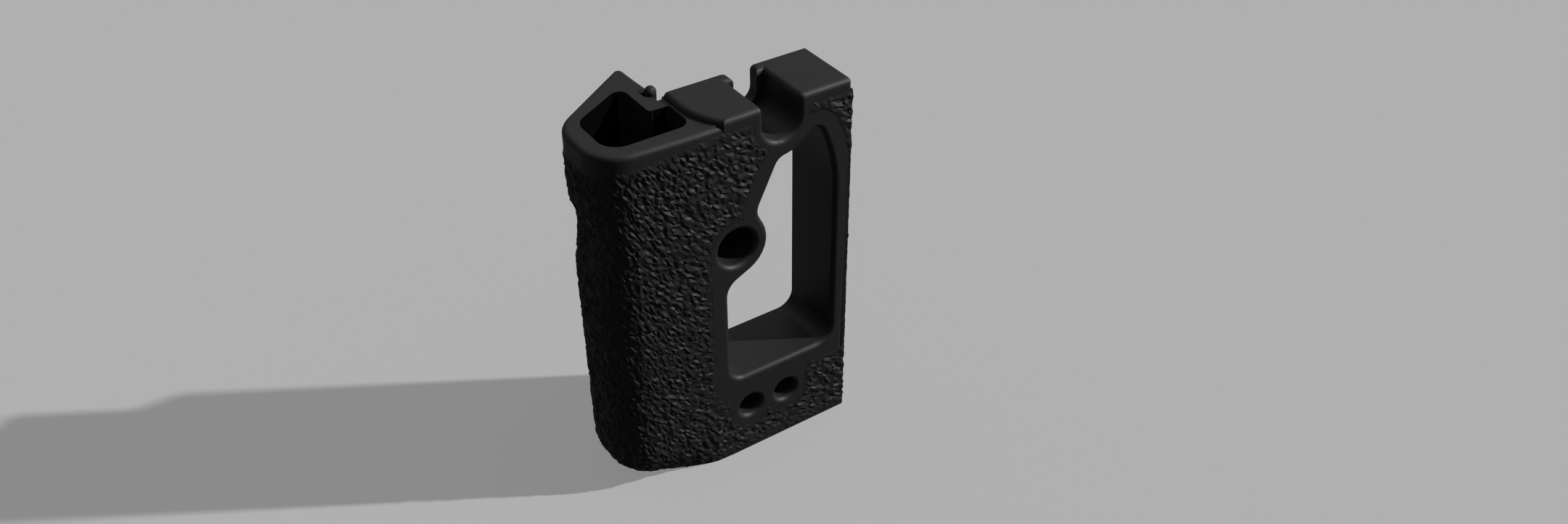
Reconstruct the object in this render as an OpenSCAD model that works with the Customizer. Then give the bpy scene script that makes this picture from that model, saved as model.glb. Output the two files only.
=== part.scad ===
// Camera L-bracket with a hollow hand grip.
// The drawing has x = 0 on the right edge of the plate, y = 0 on its front and z = 0 at the foot.
// Every piece is then placed with the camera screw's axis on the camera face as the origin.

/* [Plate] */
// Height of the bracket
body_h = 105; // [100:0.5:115]
// Thickness of the plate, from its front to the camera face
plate_t = 20; // [19:0.25:24]
// Height of the foot cap
foot_t = 3.2; // [2.6:0.1:4]

/* [Window] */
// Width of the rail to the right of the window
rail_w = 4.5; // [3.5:0.25:5.5]
// Height of the window's sill above the foot
sill_z = 26.25; // [25.5:0.25:30]
// Width of the window at its sill
window_w = 32; // [30:0.25:34]
// Radius of the window's lower corners
window_r = 4.5; // [2.5:0.25:6]
// Radius of the long curve at the window's upper right
brow_r = 42; // [36:1:48]
// Height at which that curve starts, below the slot's centre
brow_drop = 25; // [22:0.5:27]
// Slope of the window's edge between the slot and the screw hole
waist_slope = 63.6; // [60:0.2:66]
// Distance of that edge from the window's left side, at the waist's height below
waist_x = 13.5; // [13:0.1:14]
// That height, below the slot's centre
waist_drop = 14.1; // [13.5:0.1:14.5]
// Radius of the waist between that edge and the round wall at the hole
waist_r = 4.5; // [3:0.1:5]
// Radius under the round wall at the hole
elbow_r = 5; // [3:0.1:5.5]
// Radius of the window's peak
peak_r = 2.2; // [1.5:0.1:2.5]
// Radius between the slot's round wall and the slanting edge
shoulder_r = 3.5; // [2:0.1:4]

/* [Camera screw hole and slot] */
// Distance of the hole's axis from the right edge
hole_x = 33.65; // [31.5:0.05:34.5]
// Height of the hole's axis below the slot's centre
hole_drop = 31.45; // [30:0.05:32.5]
// Distance of the slot's centre line from the right edge
slot_x = 20.5; // [19.5:0.25:21.5]
// Depth of the centre of the slot's round end below the top
slot_drop = 5.3; // [4.5:0.1:6.5]
// Radius of the wide bore that takes a screw's head
head_bore_r = 5.2; // [5:0.05:5.5]
// Depth of that bore from the front
head_bore_t = 16; // [15:0.25:16.5]
// Radius of the narrow bore that a screw passes
screw_bore_r = 3.3; // [3.25:0.01:3.4]
// Thickness of the round wall at the slot
slot_wall = 4.9; // [4:0.1:5.5]
// Thickness of the round wall at the hole
hole_wall = 3.8; // [3.2:0.1:4.5]

/* [Accessory holes] */
// Radius of the two small holes
small_r = 3.25; // [3:0.05:3.4]
// Distance between them
small_pitch = 11.2; // [10:0.1:12.5]
// Height of their axes
small_z = 15.1; // [15:0.1:16]
// Distance of the middle of the pair from the right edge
small_x = 25; // [22.5:0.25:25.5]

/* [Grip] */
// Distance of the grip's left side from the plate's right edge
grip_w = 68.3; // [67:0.1:74]
// How far the grip's front falls back before its corner
grip_fall = 0.9; // [0.5:0.1:1.5]
// Depth at which the left side meets the slanting back
grip_side_y = 21.4; // [20:0.1:22]
// Slope of the slanting back
grip_slope = 35.2; // [32:0.2:38]
// Radius of the front corner
grip_front_r = 9.8; // [8:0.1:11]
// Radius of the corner behind it
grip_back_r = 11; // [9:0.25:12]
// Radius of the tip
tip_r = 1.5; // [1:0.1:2]
// Distance of the leg's camera side from the right edge
leg_x = 42.3; // [41.7:0.1:43.5]
// Distance of the grip's seam and of the raised block's flank from the right edge
flank_x = 41.3; // [41.1:0.1:41.5]
// Radius of the flank where it swings to the front
flank_r = 19; // [18:0.5:19.5]
// Depth at which that swing starts
flank_y = 12.8; // [12.6:0.1:13.2]
// Depth of the step from the raised blocks to the grip's rim
rim_drop = 1.5; // [1:0.1:2.5]
// Height of the collar round the pocket
collar_h = 2.6; // [2.2:0.1:4]

/* [Grip pocket] */
// Thickness of the pocket's front wall
wall_front = 4.3; // [3.8:0.1:5]
// Thickness of the pocket's left wall
wall_left = 4.9; // [4.7:0.1:6]
// Thickness of the wall on the camera side
wall_leg = 4.9; // [4.5:0.1:5.5]
// Thickness of the wall behind the pocket's side lobe
wall_lobe = 4.5; // [4.3:0.1:5]
// Distance from the pocket's left rear corner to the right edge's front, measured back
pocket_side_y = 20.4; // [19:0.1:21]
// Slope of the pocket's slanting wall
pocket_slope = 30; // [28:0.5:33]
// Radius of the pocket's front corner beside the raised block
pocket_r = 3.2; // [2:0.1:4]
// Radius of its rear corner beside the raised block
pocket_rear_r = 0.9; // [0.5:0.1:1.5]
// Radius of the corner where the pocket turns behind the plate
pocket_turn_r = 1.2; // [0.8:0.1:2]
// Radius of the pocket's tip
pocket_tip_r = 2.2; // [1:0.1:2.4]
// Radius of the pocket's left rear corner
pocket_side_r = 5; // [3:0.1:5.5]
// Radius of its left front corner
pocket_front_r = 5.2; // [4:0.1:5.5]
// Height of the pocket's floor
pocket_floor = 13; // [12.5:0.5:20]

/* [Hollow for the thumb and rounding of the heel] */
// Depth of the hollow
dent_t = 3; // [0.5:0.1:3.1]
// Height of its deepest line
dent_z = 78; // [76:0.5:83]
// Its reach above that line
dent_up = 9; // [4:0.5:10]
// Its reach below that line
dent_down = 13; // [10:0.5:16]
// Its reach round the grip to each side
dent_side = 15; // [10:0.5:18]
// Height at which the heel starts to round
heel_z = 11.5; // [9:0.5:12.5]
// How far the heel is rounded in at its left
heel_in = 6.6; // [3:0.1:7]
// Slope of the heel's front at the foot
heel_front = 22.8; // [12:0.1:23.5]
// Slope of the heel's back at the foot
heel_back = 42; // [37:0.5:43]
// Radius of the heel's front corner
heel_front_r = 9.5; // [7:0.1:9.5]
// Radius of the corner behind it
heel_back_r = 10; // [7:0.1:10]

/* [Pads] */
// Thickness of the rubber pads
pad_t = 1.2; // [1:0.05:1.4]
// How far they stand proud
pad_proud = 0.45; // [0.3:0.05:0.5]
// Smooth border between the window and the pads
window_border = 4.8; // [4.7:0.05:4.8]
// Smooth border round the screw hole and slot
hole_border = 2.5; // [2:0.1:3]
// Smooth border round the accessory holes
small_border = 3.2; // [2.4:0.1:3.4]
// Smooth band below the top of the plate
top_band = 3.4; // [3:0.1:4.5]
// Gap between a pad and the body
pad_gap = 0.05; // [0.02:0.01:0.1]
// Thickness of the pad on the camera face
face_pad_t = 0.8; // [0.6:0.05:1]
// How far that pad stands proud
face_pad_proud = 0.2; // [0.1:0.05:0.3]
// Smooth border round the camera pad
face_border = 1.6; // [1.4:0.1:2]

/* [Stop bead] */
// Radius of the bead on the leg's camera side
bead_r = 1.55; // [1:0.05:1.7]
// Distance of the bead behind the camera face
bead_y = 3.6; // [3:0.1:6]

/* [Camera screw] */
// Major radius of the quarter inch thread
thread_r = 3.175; // [3.17:0.005:3.18]
// Length of thread beyond the camera face
thread_l = 5; // [4:0.1:5.5]
// Radius of the screw's head
head_r = 4.75; // [4.5:0.05:4.8]
// Height of the head
head_h = 3.5; // [3:0.1:3.6]
// Width across the flats of the key's socket
key_w = 3.97; // [3:0.01:4.5]
// Depth of the key's socket
key_t = 2.2; // [1.5:0.1:2.4]
// Thickness of the washer
washer_t = 0.8; // [0.5:0.05:1]
// Thickness of the retaining clip
clip_t = 0.6; // [0.5:0.05:0.7]
// Radius of the groove that holds the clip
clip_groove_r = 2.4; // [2.2:0.05:2.5]
// Outer radius of the clip
clip_r = 5.2; // [4.5:0.1:5.5]
// Travel of the loose screw along its axis
screw_float = 0.9; // [0.5:0.05:1]
// Running gap on the radius of the screw and washer
run_gap = 0.08; // [0.05:0.01:0.1]
// Gap between faces that rest on each other in the screw set
seat_gap = 0.05; // [0.02:0.01:0.08]

/* [Fasteners] */
// Distance of the first foot screw from the right edge
foot_x = 8; // [6.5:0.5:9.5]
// Distance of the second foot screw from the seam of plate and grip
foot_seam = 3.6; // [3.3:0.1:6]
// Distances of the third foot screw from the grip's left side and front
foot_left = 15; // [13:0.5:16]
foot_front = 12.5; // [12:0.5:13]
// Distances of the last foot screw from the leg's camera side and the camera face
foot_leg = 6.5; // [4:0.5:7]
foot_behind = 5; // [3:0.5:6]
// Distance of the grip's dowel from its left side and front
dowel_left = 10; // [9:0.5:10.5]
dowel_front = 17; // [16.5:0.5:18]
// Radius of the foot screws
foot_screw_r = 1.5; // [1.25:0.05:1.5]
// Length of the foot screws
foot_screw_l = 8; // [7:0.5:8.5]
// Radius of the foot screws' heads
foot_head_r = 2.9; // [2.6:0.1:3.1]
// Outer radius of the threaded inserts
insert_r = 2.1; // [2:0.05:2.4]
// Length of the threaded inserts
insert_l = 5.5; // [4:0.25:6]
// Radius of the dowels that locate the foot cap
dowel_r = 1; // [0.9:0.05:1.5]
// Length of the dowels, and of their part in the foot cap
dowel_l = 6; // [5:0.5:7]
dowel_low = 1.8; // [1.5:0.1:2]
// Radius of the thread-forming screws that join grip and plate
grip_screw_r = 1.25; // [1:0.05:1.3]
// Length of those screws
grip_screw_l = 10; // [9:0.25:10.25]
// Radius of their heads
grip_head_r = 2.3; // [2:0.05:2.4]
// Heights of those screws above the sill
grip_screw_rise = [8.5, 21];

/* [Hidden] */
$fn = 64;
// Cuts run past the faces that they open by this much
past = 1;
// Number of chords on a rounded corner, on the thumb side and elsewhere
chords = 8;
few_chords = 5;
// Height of the rim and of the collar's seat
rim_z = body_h - rim_drop;
seat_z = rim_z - collar_h;
pad_top = body_h - top_band;
low_top = sill_z - window_border;
side_bare = 1;
pad_in = pad_t - pad_proud;
slot_z = body_h - slot_drop;
hole_z = slot_z - hole_drop;
brow_z = slot_z - brow_drop;
window_left = rail_w + window_w;
// The clip's place, and the recess in the camera face that it travels in
clip_y = plate_t - clip_t - 0.1;
clip_recess_y = clip_y - screw_float - 2 * seat_gap;
clip_recess_r = clip_r + 0.8;
washer_y = head_bore_t - seat_gap - washer_t;
head_y = washer_y - seat_gap - head_h;
shank_r = thread_r - 0.075;
// Depth of the lip that the collar sinks into the pocket, and its thickness
lip_h = 3;
lip_t = 1.2;
// Right side of the pocket's mouth, in the collar
mouth_x = -flank_x - 0.6;
// Run of the upper pad's slanting shoulder beside the collar
step_run = 2.3;
// Length of the ramp at the end of the skin's seat
ramp_l = 2;
// Place of the point from which the sections' end faces spread
sight_x = 8;
sight_y = 8;
// How far above the slanting back's start the thumb's hollow is centred
dent_y = 7;
// Tongue on the plate's flank
tongue_y = 2.3;
tongue_t = 1.4;
tongue_l = 1.6;
tongue_gap = 0.05;
foot_head_t = foot_head_r - foot_screw_r;
grip_head_t = grip_head_r - grip_screw_r;
grip_screw_y = plate_t - wall_lobe / 2;
dowel_spots = [[-small_x, plate_t / 2], [-grip_w + dowel_left, dowel_front]];
foot_spots = [[-foot_x, plate_t / 2], [-flank_x + foot_seam, plate_t / 2], [-grip_w + foot_left, foot_front],
              [-leg_x - foot_leg, plate_t + foot_behind]];

// Geometry in the plane. A line is [a point, its heading]; a path point is [x, y, heading].
function along(a) = [cos(a), sin(a)];
function left_of(a) = [-sin(a), cos(a)];
function turn(a) = a > 180 ? turn(a - 360) : a <= -180 ? turn(a + 360) : a;
function cross2(a, b) = a[0] * b[1] - a[1] * b[0];
function meet(e, f) =
    e[0] + along(e[1]) * cross2(f[0] - e[0], along(f[1])) / cross2(along(e[1]), along(f[1]));
// The arc of radius r that leads from line e to line f, as n chords
function bend(e, f, r, n) =
    let (t = turn(f[1] - e[1]), side = sign(t))
    let (start = meet(e, f) - along(e[1]) * r * abs(tan(t / 2)))
    let (centre = start + side * r * left_of(e[1]))
    [for (i = [0:n]) let (a = e[1] + t * i / n) concat(centre - side * r * left_of(a), [a])];
// A closed outline with a radius at each corner
function rounded(lines, radii, n) =
    [for (i = [0:len(lines) - 1]) each bend(lines[i], lines[(i + 1) % len(lines)], radii[i], n)];
// The outline moved to the right of its heading
function moved(path, d) = [for (p = path) [p[0], p[1]] - d * left_of(p[2])];
// Points between two path points
function between(p, q, n) = [for (i = [1:n - 1]) p + (q - p) * i / n];
// The line that runs round a centre, clockwise, at a heading
function round_line(c, r, a) = [c + r * left_of(a), a];
function ease(t) = let (u = min(1, max(0, t))) u * u * (3 - 2 * u);

// The window's outline in x and z
brow_end = 24;
// Headings at which the window's edge touches the round walls at the slot and at the hole
slot_touch = [225, 188];
hole_touch = [297, 205];
hole_c = [-hole_x, hole_z];
slot_c = [-slot_x, slot_z];
brow_c = [-rail_w - brow_r, brow_z];
waist_line = [[-window_left + waist_x, slot_z - waist_drop], 180 + waist_slope];
window_lines = [
    [[-rail_w, sill_z], 90],
    [brow_c + brow_r * along(brow_end), 90 + brow_end],
    round_line(slot_c, head_bore_r + slot_wall, slot_touch[0]),
    round_line(slot_c, head_bore_r + slot_wall, slot_touch[1]),
    waist_line,
    round_line(hole_c, head_bore_r + hole_wall, hole_touch[0]),
    round_line(hole_c, head_bore_r + hole_wall, hole_touch[1]),
    [[-window_left, sill_z], 270],
    [[-window_left, sill_z], 0]];
window_radii = [brow_r, peak_r, head_bore_r + slot_wall, shoulder_r, waist_r, head_bore_r + hole_wall,
                elbow_r, window_r, window_r];
window_path = rounded(window_lines, window_radii, chords);

// The grip's outline in x and y, clockwise from the front, split where the rubber skin ends
front_line = [[-window_left, 0], 180 - atan(grip_fall / (grip_w - grip_front_r - window_left))];
left_line = [[-grip_w, 0], 90];
back_line = [[-grip_w, grip_side_y], grip_slope];
leg_line = [[-leg_x, plate_t], 270];
// Where the grip's front leaves the plate, heading straight left
seam_y = (flank_x - window_left) * tan(180 - front_line[1]);
seam_start = [-flank_x, seam_y, 180];
tip_arc = bend(back_line, leg_line, tip_r, few_chords);
skin_end = tip_arc[0] - concat(along(grip_slope) * ramp_l, [0]);
// The skin's line from the seam, round the front corner and the side, to its end near the tip
function skin_line(front, left, back, front_r, back_r) =
    let (a = bend(front, left, front_r, chords), b = bend(left, back, back_r, chords))
    let (end = [skin_end[0], skin_end[1], back[1]])
    concat([seam_start], swelling(seam_start, a[0], 7), a, b, between(b[chords], end, 7), [end]);
// Points between the seam and the front corner, that leave the seam's heading gently
function swelling(p, q, n) = [for (i = [1:n - 1]) let (t = i / n)
    [p[0] + (q[0] - p[0]) * t, p[1] + (q[1] - p[1]) * pow(t, 1.3), p[2] + (q[2] - p[2]) * t]];
skin_path = skin_line(front_line, left_line, back_line, grip_front_r, grip_back_r);
foot_path = skin_line([[-flank_x, seam_y], 180 - heel_front], [[-grip_w + heel_in, 0], 90],
                      [[skin_end[0], skin_end[1]], heel_back], heel_front_r, heel_back_r);
leg_path = concat(tip_arc, [[-leg_x, plate_t, 270]]);
// The middle of the thumb's hollow
dent_mid = [-grip_w, grip_side_y - dent_y];
// A point that sees the whole of each section
mid = [-leg_x - sight_x, sight_y];

// How far the skin's line has come towards the foot's at a height
function heel(z) = z >= heel_z ? 0 : pow(1 - z / heel_z, 2);
// How far the thumb's hollow is pressed in at a point and a height
function dent(p, z) =
    let (up = z > dent_z ? (z - dent_z) / dent_up : (dent_z - z) / dent_down)
    let (side = norm([p[0], p[1]] - dent_mid) / dent_side)
    dent_t * (1 - ease(up)) * (1 - ease(side));
// Sections: the skin's line moved out at a height, in both directions, and the leg's fixed line
function skin_ring(z, out) =
    [for (i = [0:len(skin_path) - 1])
        let (p = skin_path[i] + (foot_path[i] - skin_path[i]) * heel(z))
        let (q = [p[0], p[1]] + (out - dent(p, z)) * left_of(p[2]))
        [q[0], q[1], z]];
function backwards(list) = [for (i = [len(list) - 1:-1:0]) list[i]];
function at_height(points, z) = [for (p = points) [p[0], p[1], z]];

// Heights of the sections, close together where the form bends
function steps(a, b, n) = [for (i = [0:n]) a + (b - a) * i / n];
grip_levels = concat(
    steps(foot_t, heel_z, 4),
    steps(dent_z - dent_down, dent_z, 6),
    steps(dent_z + dent_up / 4, dent_z + dent_up, 3),
    [seat_z]);

// The faces between the sections of a loft: n points in each of m sections
function wall_faces(n, m) = [for (k = [0:m - 2]) for (i = [0:n - 1]) let (j = (i + 1) % n) each
    [[k * n + i, k * n + n + i, k * n + j], [k * n + j, k * n + n + i, k * n + n + j]]];
// A solid through closed sections with equal numbers of points, clockwise from above.
// Each end is a fan of faces round the point mid, which sees the whole section.
module loft(rings) {
    n = len(rings[0]);
    m = len(rings);
    low_mid = [mid[0], mid[1], rings[0][0][2]];
    high_mid = [mid[0], mid[1], rings[m - 1][0][2]];
    fans = [for (i = [0:n - 1]) let (j = (i + 1) % n) each
        [[i, j, m * n], [m * n - n + j, m * n - n + i, m * n + 1]]];
    polyhedron(concat([for (r = rings) each r], [low_mid, high_mid]), concat(wall_faces(n, m), fans));
}
// The same for a band: each section runs out along one side and back along the other
module band(rings) {
    n = len(rings[0]);
    m = len(rings);
    t = m * n - n;
    ends = [for (i = [0:n / 2 - 2]) let (j = n - 1 - i) each
        [[i, i + 1, j - 1], [i, j - 1, j], [t + i, t + j - 1, t + i + 1], [t + i, t + j, t + j - 1]]];
    polyhedron([for (r = rings) each r], concat(wall_faces(n, m), ends));
}

// A flat outline in x and z, as a solid between two depths
module slab(y0, y1) translate([0, y1, 0]) rotate([90, 0, 0]) linear_extrude(y1 - y0) children();

// A round bar along y between two depths
module bar(c, r, y0, y1) translate([c[0], y0, c[1]]) rotate([-90, 0, 0]) cylinder(r = r, h = y1 - y0);

module in_frame() translate([-hole_c[0], -plate_t, -hole_c[1]]) children();

// The pocket's outline in x and y, out to a right side that the collar and the shell set themselves
function pocket_path(x) = rounded([
    [[-flank_x, plate_t - wall_lobe], 180],
    [[-leg_x - wall_leg, plate_t], 90],
    [[-grip_w + wall_left, pocket_side_y], 180 + pocket_slope],
    [[-grip_w + wall_left, 0], 270],
    [[-grip_w, grip_fall + wall_front], 0],
    [[x, 0], 90]],
    [pocket_turn_r, pocket_tip_r, pocket_side_r, pocket_front_r, pocket_r, pocket_rear_r], chords);
module pocket(z0, z1, x, out) translate([0, 0, z0]) linear_extrude(z1 - z0) polygon(moved(pocket_path(x), out));

// The window, and its outline moved outwards
module window(y0, y1, out) slab(y0, y1) polygon(moved(window_path, out));

// The flank of the raised block, from the camera face to the front
flank_line = [[-flank_x, plate_t], 270];
flank_turn = acos(1 - (flank_x - window_left) / flank_r);
function flank_point(a) = [-flank_x + flank_r * (1 - cos(a)), flank_y - flank_r * sin(a)];
flank_steps = 8;
flank_arc = [for (i = [0:flank_steps]) flank_point(flank_turn * i / flank_steps)];
flank_foot = [-window_left, -past];

// The open bore of the slot: wide at the front, narrow through the lip
module slot_bore(r, y0, y1) {
    bar(slot_c, r, y0, y1);
    translate([slot_c[0] - r, y0, slot_z]) cube([2 * r, y1 - y0, slot_drop + past]);
}

module small_bores(r, y0, y1)
    for (side = [-1, 1]) bar([-small_x + side * small_pitch / 2, small_z], r, y0, y1);

// Outlines of the pads on the front
module upper_outline() {
    left = -flank_x + pad_gap;
    right = -slot_x - head_bore_r - hole_border;
    polygon([[left, hole_z], [left, seat_z - pad_gap], [-window_left - pad_gap, seat_z - pad_gap],
             [-window_left + step_run, pad_top], [right, pad_top], [right, slot_z],
             [-slot_x, slot_z - head_bore_r], [-slot_x, hole_z]]);
}
module upper_cuts(grow) {
    window(-plate_t, plate_t, window_border - grow);
    bar(hole_c, head_bore_r + hole_border - grow, -plate_t, plate_t);
    bar(slot_c, head_bore_r + hole_border - grow, -plate_t, plate_t);
}
module lower_cuts(grow) {
    clear = small_r + small_border - grow;
    reach = small_pitch / 2 + clear;
    small_bores(clear, -plate_t, plate_t);
    translate([-small_x - reach, -plate_t, small_z]) cube([2 * reach, 2 * plate_t, sill_z]);
}
module corner_cuts(grow) {
    window(-plate_t, plate_t, window_border - grow);
    bar(slot_c, head_bore_r + hole_border - grow, -plate_t, plate_t);
}
// The plane shapes of the three front pads, grown by a gap where they cut the plate
module upper_shape(y0, y1, grow) difference() {
    slab(y0, y1) upper_outline();
    upper_cuts(grow);
}
module lower_shape(y0, y1, grow) difference() {
    translate([-flank_x + pad_gap - grow, y0, foot_t + pad_gap - grow])
        cube([flank_x - pad_in - 2 * pad_gap + 2 * grow, y1 - y0, low_top - foot_t - pad_gap + 2 * grow]);
    lower_cuts(grow);
}
module corner_shape(y0, y1, grow, x) difference() {
    translate([-slot_x + head_bore_r + hole_border - grow, y0, brow_z])
        cube([slot_x - head_bore_r - hole_border + grow + x, y1 - y0, pad_top - brow_z + grow]);
    corner_cuts(grow);
}

// The plate with its raised blocks, window, slot and bores
module plate_body() color([0.14, 0.14, 0.15]) in_frame() {
    difference() {
        union() {
            translate([0, 0, foot_t]) linear_extrude(body_h - foot_t)
                polygon([[0, 0], [-window_left, 0], [-flank_x, seam_y], [-flank_x, plate_t],
                         [0, plate_t]]);
            translate([-flank_x - tongue_l, tongue_y, foot_t])
                cube([tongue_l + past, tongue_t, seat_z - foot_t]);
        }
        // The seat of the collar, left of the raised block's flank
        translate([0, 0, seat_z]) linear_extrude(collar_h + rim_drop + past)
            polygon(concat([[-flank_x - past, -past], [-flank_x - past, flank_y]], flank_arc, [flank_foot]));
        window(-past, plate_t + past, 0);
        slot_bore(head_bore_r, -past, head_bore_t);
        slot_bore(screw_bore_r, 0, plate_t + past);
        bar(hole_c, head_bore_r, -past, head_bore_t);
        bar(hole_c, screw_bore_r, 0, plate_t + past);
        bar(hole_c, clip_recess_r, clip_recess_y, plate_t + past);
        small_bores(small_r, -past, plate_t + past);
        upper_shape(-past, pad_in, pad_gap);
        lower_shape(-past, pad_in, pad_gap);
        corner_shape(-past, pad_in, pad_gap, past);
        translate([-pad_in, -past, foot_t - past])
            cube([pad_in + past, plate_t - side_bare + past + pad_gap, pad_top + pad_gap - foot_t + past]);
        face_shape(plate_t - face_pad_t + face_pad_proud, plate_t + past, pad_gap);
        foot_bores();
        dowel_bores();
        grip_screw_bores();
    }
}

// The pad on the camera face
module face_shape(y0, y1, grow) {
    inset = face_border - grow;
    difference() {
        translate([-flank_x + inset, y0, foot_t + inset])
            cube([flank_x - 2 * inset, y1 - y0, body_h - foot_t - 2 * inset]);
        window(y0 - past, y1 + past, inset);
        bar(hole_c, clip_recess_r + inset, y0 - past, y1 + past);
        slot_bore(screw_bore_r + inset, y0 - past, y1 + past);
        small_bores(small_r + inset, y0 - past, y1 + past);
    }
}
module camera_pad() color([0.2, 0.2, 0.2]) in_frame()
    face_shape(plate_t - face_pad_t + face_pad_proud, plate_t + face_pad_proud, 0);

// Bores for the inserts, open below
module foot_bores() for (p = foot_spots) translate([p[0], p[1], foot_t - past]) cylinder(r = insert_r, h = insert_l + past);
module foot_inserts() color("goldenrod") in_frame()
    for (p = foot_spots) translate([p[0], p[1], foot_t]) difference() {
        cylinder(r = insert_r, h = insert_l);
        translate([0, 0, -past]) cylinder(r = foot_screw_r, h = insert_l + 2 * past);
    }

// Dowels half in the foot cap and half in the body
module dowel_bores()
    for (p = dowel_spots) translate([p[0], p[1], foot_t - dowel_low]) cylinder(r = dowel_r, h = dowel_l);
module foot_dowels() color("silver") in_frame() dowel_bores();

// A countersunk screw that points up from z = 0
module flat_screw(r, head, l) union() {
    cylinder(r1 = head, r2 = r, h = head - r);
    cylinder(r = r, h = l);
}
module foot_screws() color([0.1, 0.1, 0.1]) in_frame()
    for (p = foot_spots) translate([p[0], p[1], 0]) difference() {
        flat_screw(foot_screw_r - 0.02, foot_head_r - 0.02, foot_screw_l);
        translate([0, 0, -past]) cylinder(r = 1.15, h = past + 1.2, $fn = 6);
    }

// The screws that pull the grip against the plate, driven from inside the window
module along_flank(r_less, cut)
    for (rise = grip_screw_rise) translate([-window_left, grip_screw_y, sill_z + rise]) rotate([0, -90, 0]) {
        flat_screw(grip_screw_r - r_less, grip_head_r - r_less, grip_screw_l);
        if (cut) translate([0, 0, -past]) cylinder(r = grip_head_r, h = past);
    }
module grip_screw_bores() along_flank(0, true);
module grip_screws() color([0.1, 0.1, 0.1]) in_frame() difference() {
    along_flank(0.02, false);
    for (rise = grip_screw_rise) translate([-window_left + past, grip_screw_y, sill_z + rise])
        rotate([0, -90, 0]) cylinder(r = 0.9, h = past + 1, $fn = 6);
}

// The hollow grip with its solid heel
module grip_shell() color([0.16, 0.16, 0.17]) in_frame() {
    difference() {
        loft([for (z = grip_levels)
            concat(skin_ring(z, -pad_in), at_height(leg_path, z), at_height([[-flank_x, plate_t]], z))]);
        pocket(pocket_floor, seat_z + past, past - flank_x, 0);
        pocket(seat_z - lip_h, seat_z + past, past - flank_x, lip_t);
        translate([-flank_x - tongue_l - tongue_gap, tongue_y - tongue_gap, foot_t - past])
            cube([tongue_l + past, tongue_t + 2 * tongue_gap, seat_z - foot_t + 2 * past]);
        bead_groove();
        foot_bores();
        dowel_bores();
        grip_screw_bores();
    }
}

// The rim ring round the pocket, with its lip
module top_collar() color([0.18, 0.18, 0.19]) in_frame() difference() {
    union() {
        translate([0, 0, seat_z]) linear_extrude(collar_h) polygon(concat(
            moved(skin_path, 0), moved(leg_path, 0), [[-flank_x, plate_t]], flank_arc));
        intersection() {
            pocket(seat_z - lip_h + pad_gap, seat_z + past, past - flank_x, lip_t - pad_gap);
            translate([-grip_w, 0, 0]) cube([grip_w - flank_x - pad_gap, plate_t * 2, body_h]);
        }
    }
    pocket(seat_z - lip_h - past, rim_z + past, mouth_x, 0);
    bead_groove();
}

// The end cap over the whole footprint
module foot_cap() color([0.15, 0.15, 0.16]) in_frame() difference() {
    loft([for (z = steps(0, foot_t, 3)) concat(
        at_height([[0, 0], [-window_left, 0]], z), skin_ring(z, 0), at_height(leg_path, z),
        at_height([[0, plate_t]], z))]);
    dowel_bores();
    for (p = foot_spots) translate([p[0], p[1], 0]) {
        cylinder(r = foot_screw_r + 0.1, h = foot_t + past);
        cylinder(r1 = foot_head_r, r2 = foot_screw_r, h = foot_head_t);
        translate([0, 0, -past]) cylinder(r = foot_head_r, h = past);
    }
}

// The stippled rubber skin round the grip
module grip_skin() color([0.1, 0.1, 0.11]) in_frame() {
    levels = concat([foot_t + pad_gap], [for (z = grip_levels) if (z > foot_t && z < seat_z) z], [seat_z - pad_gap]);
    band([for (z = levels) concat(skin_ring(z, pad_proud), backwards(skin_ring(z, -pad_in + pad_gap)))]);
}

// The flat pads on the front
module upper_pad() color([0.1, 0.1, 0.11]) in_frame() upper_shape(-pad_proud, pad_in - pad_gap, 0);
module lower_pad() color([0.1, 0.1, 0.11]) in_frame() lower_shape(-pad_proud, pad_in - pad_gap, 0);

// The pad on the right edge, which turns the corner at the top
module side_skin() color([0.1, 0.1, 0.11]) in_frame() {
    corner_shape(-pad_proud, pad_in - pad_gap, 0, pad_proud);
    translate([-pad_in + pad_gap, 0, foot_t + pad_gap])
        cube([pad_t - pad_gap, plate_t - side_bare, pad_top - foot_t - pad_gap]);
    translate([-pad_in + pad_gap, -pad_proud, foot_t + pad_gap])
        cube([pad_t - pad_gap, pad_proud + past, pad_top - foot_t - pad_gap]);
}

// The rubber bead that stops the camera's side, and its groove
module bead_groove() translate([-leg_x, plate_t + bead_y, foot_t]) cylinder(r = bead_r + 0.02, h = body_h);
module stop_bead() color([0.1, 0.1, 0.1]) in_frame() translate([-leg_x, plate_t + bead_y, foot_t]) {
    cylinder(r = bead_r, h = rim_z - foot_t);
    translate([0, 0, rim_z - foot_t]) sphere(r = bead_r);
}

// The camera screw, its washer and its clip
module camera_screw() color("silver") in_frame() difference() {
    union() {
        bar(hole_c, head_r, head_y, head_y + head_h);
        bar(hole_c, shank_r, head_y + head_h, clip_y);
        bar(hole_c, clip_groove_r, clip_y, clip_y + clip_t);
        bar(hole_c, thread_r, clip_y + clip_t, plate_t + thread_l);
    }
    translate([hole_c[0], head_y - past, hole_c[1]]) rotate([-90, 0, 0])
        cylinder(r = key_w / sqrt(3), h = key_t + past, $fn = 6);
}
module screw_washer() color("gainsboro") in_frame() difference() {
    bar(hole_c, head_bore_r - run_gap, washer_y, washer_y + washer_t);
    bar(hole_c, shank_r + run_gap, washer_y - past, washer_y + washer_t + past);
}
module retaining_clip() color("dimgray") in_frame() difference() {
    bar(hole_c, clip_r, clip_y + 0.02, clip_y + clip_t - 0.02);
    bar(hole_c, clip_groove_r + 0.02, clip_y - past, clip_y + clip_t + past);
    translate([hole_c[0] - clip_groove_r * 0.8, clip_y - past, hole_c[1] - clip_r - past])
        cube([clip_groove_r * 1.6, clip_t + 2 * past, clip_r + past]);
}

plate_body();
grip_shell();
top_collar();
foot_cap();
grip_skin();
upper_pad();
lower_pad();
side_skin();
camera_pad();
stop_bead();
camera_screw();
screw_washer();
retaining_clip();
grip_screws();
foot_inserts();
foot_screws();
foot_dowels();
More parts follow.
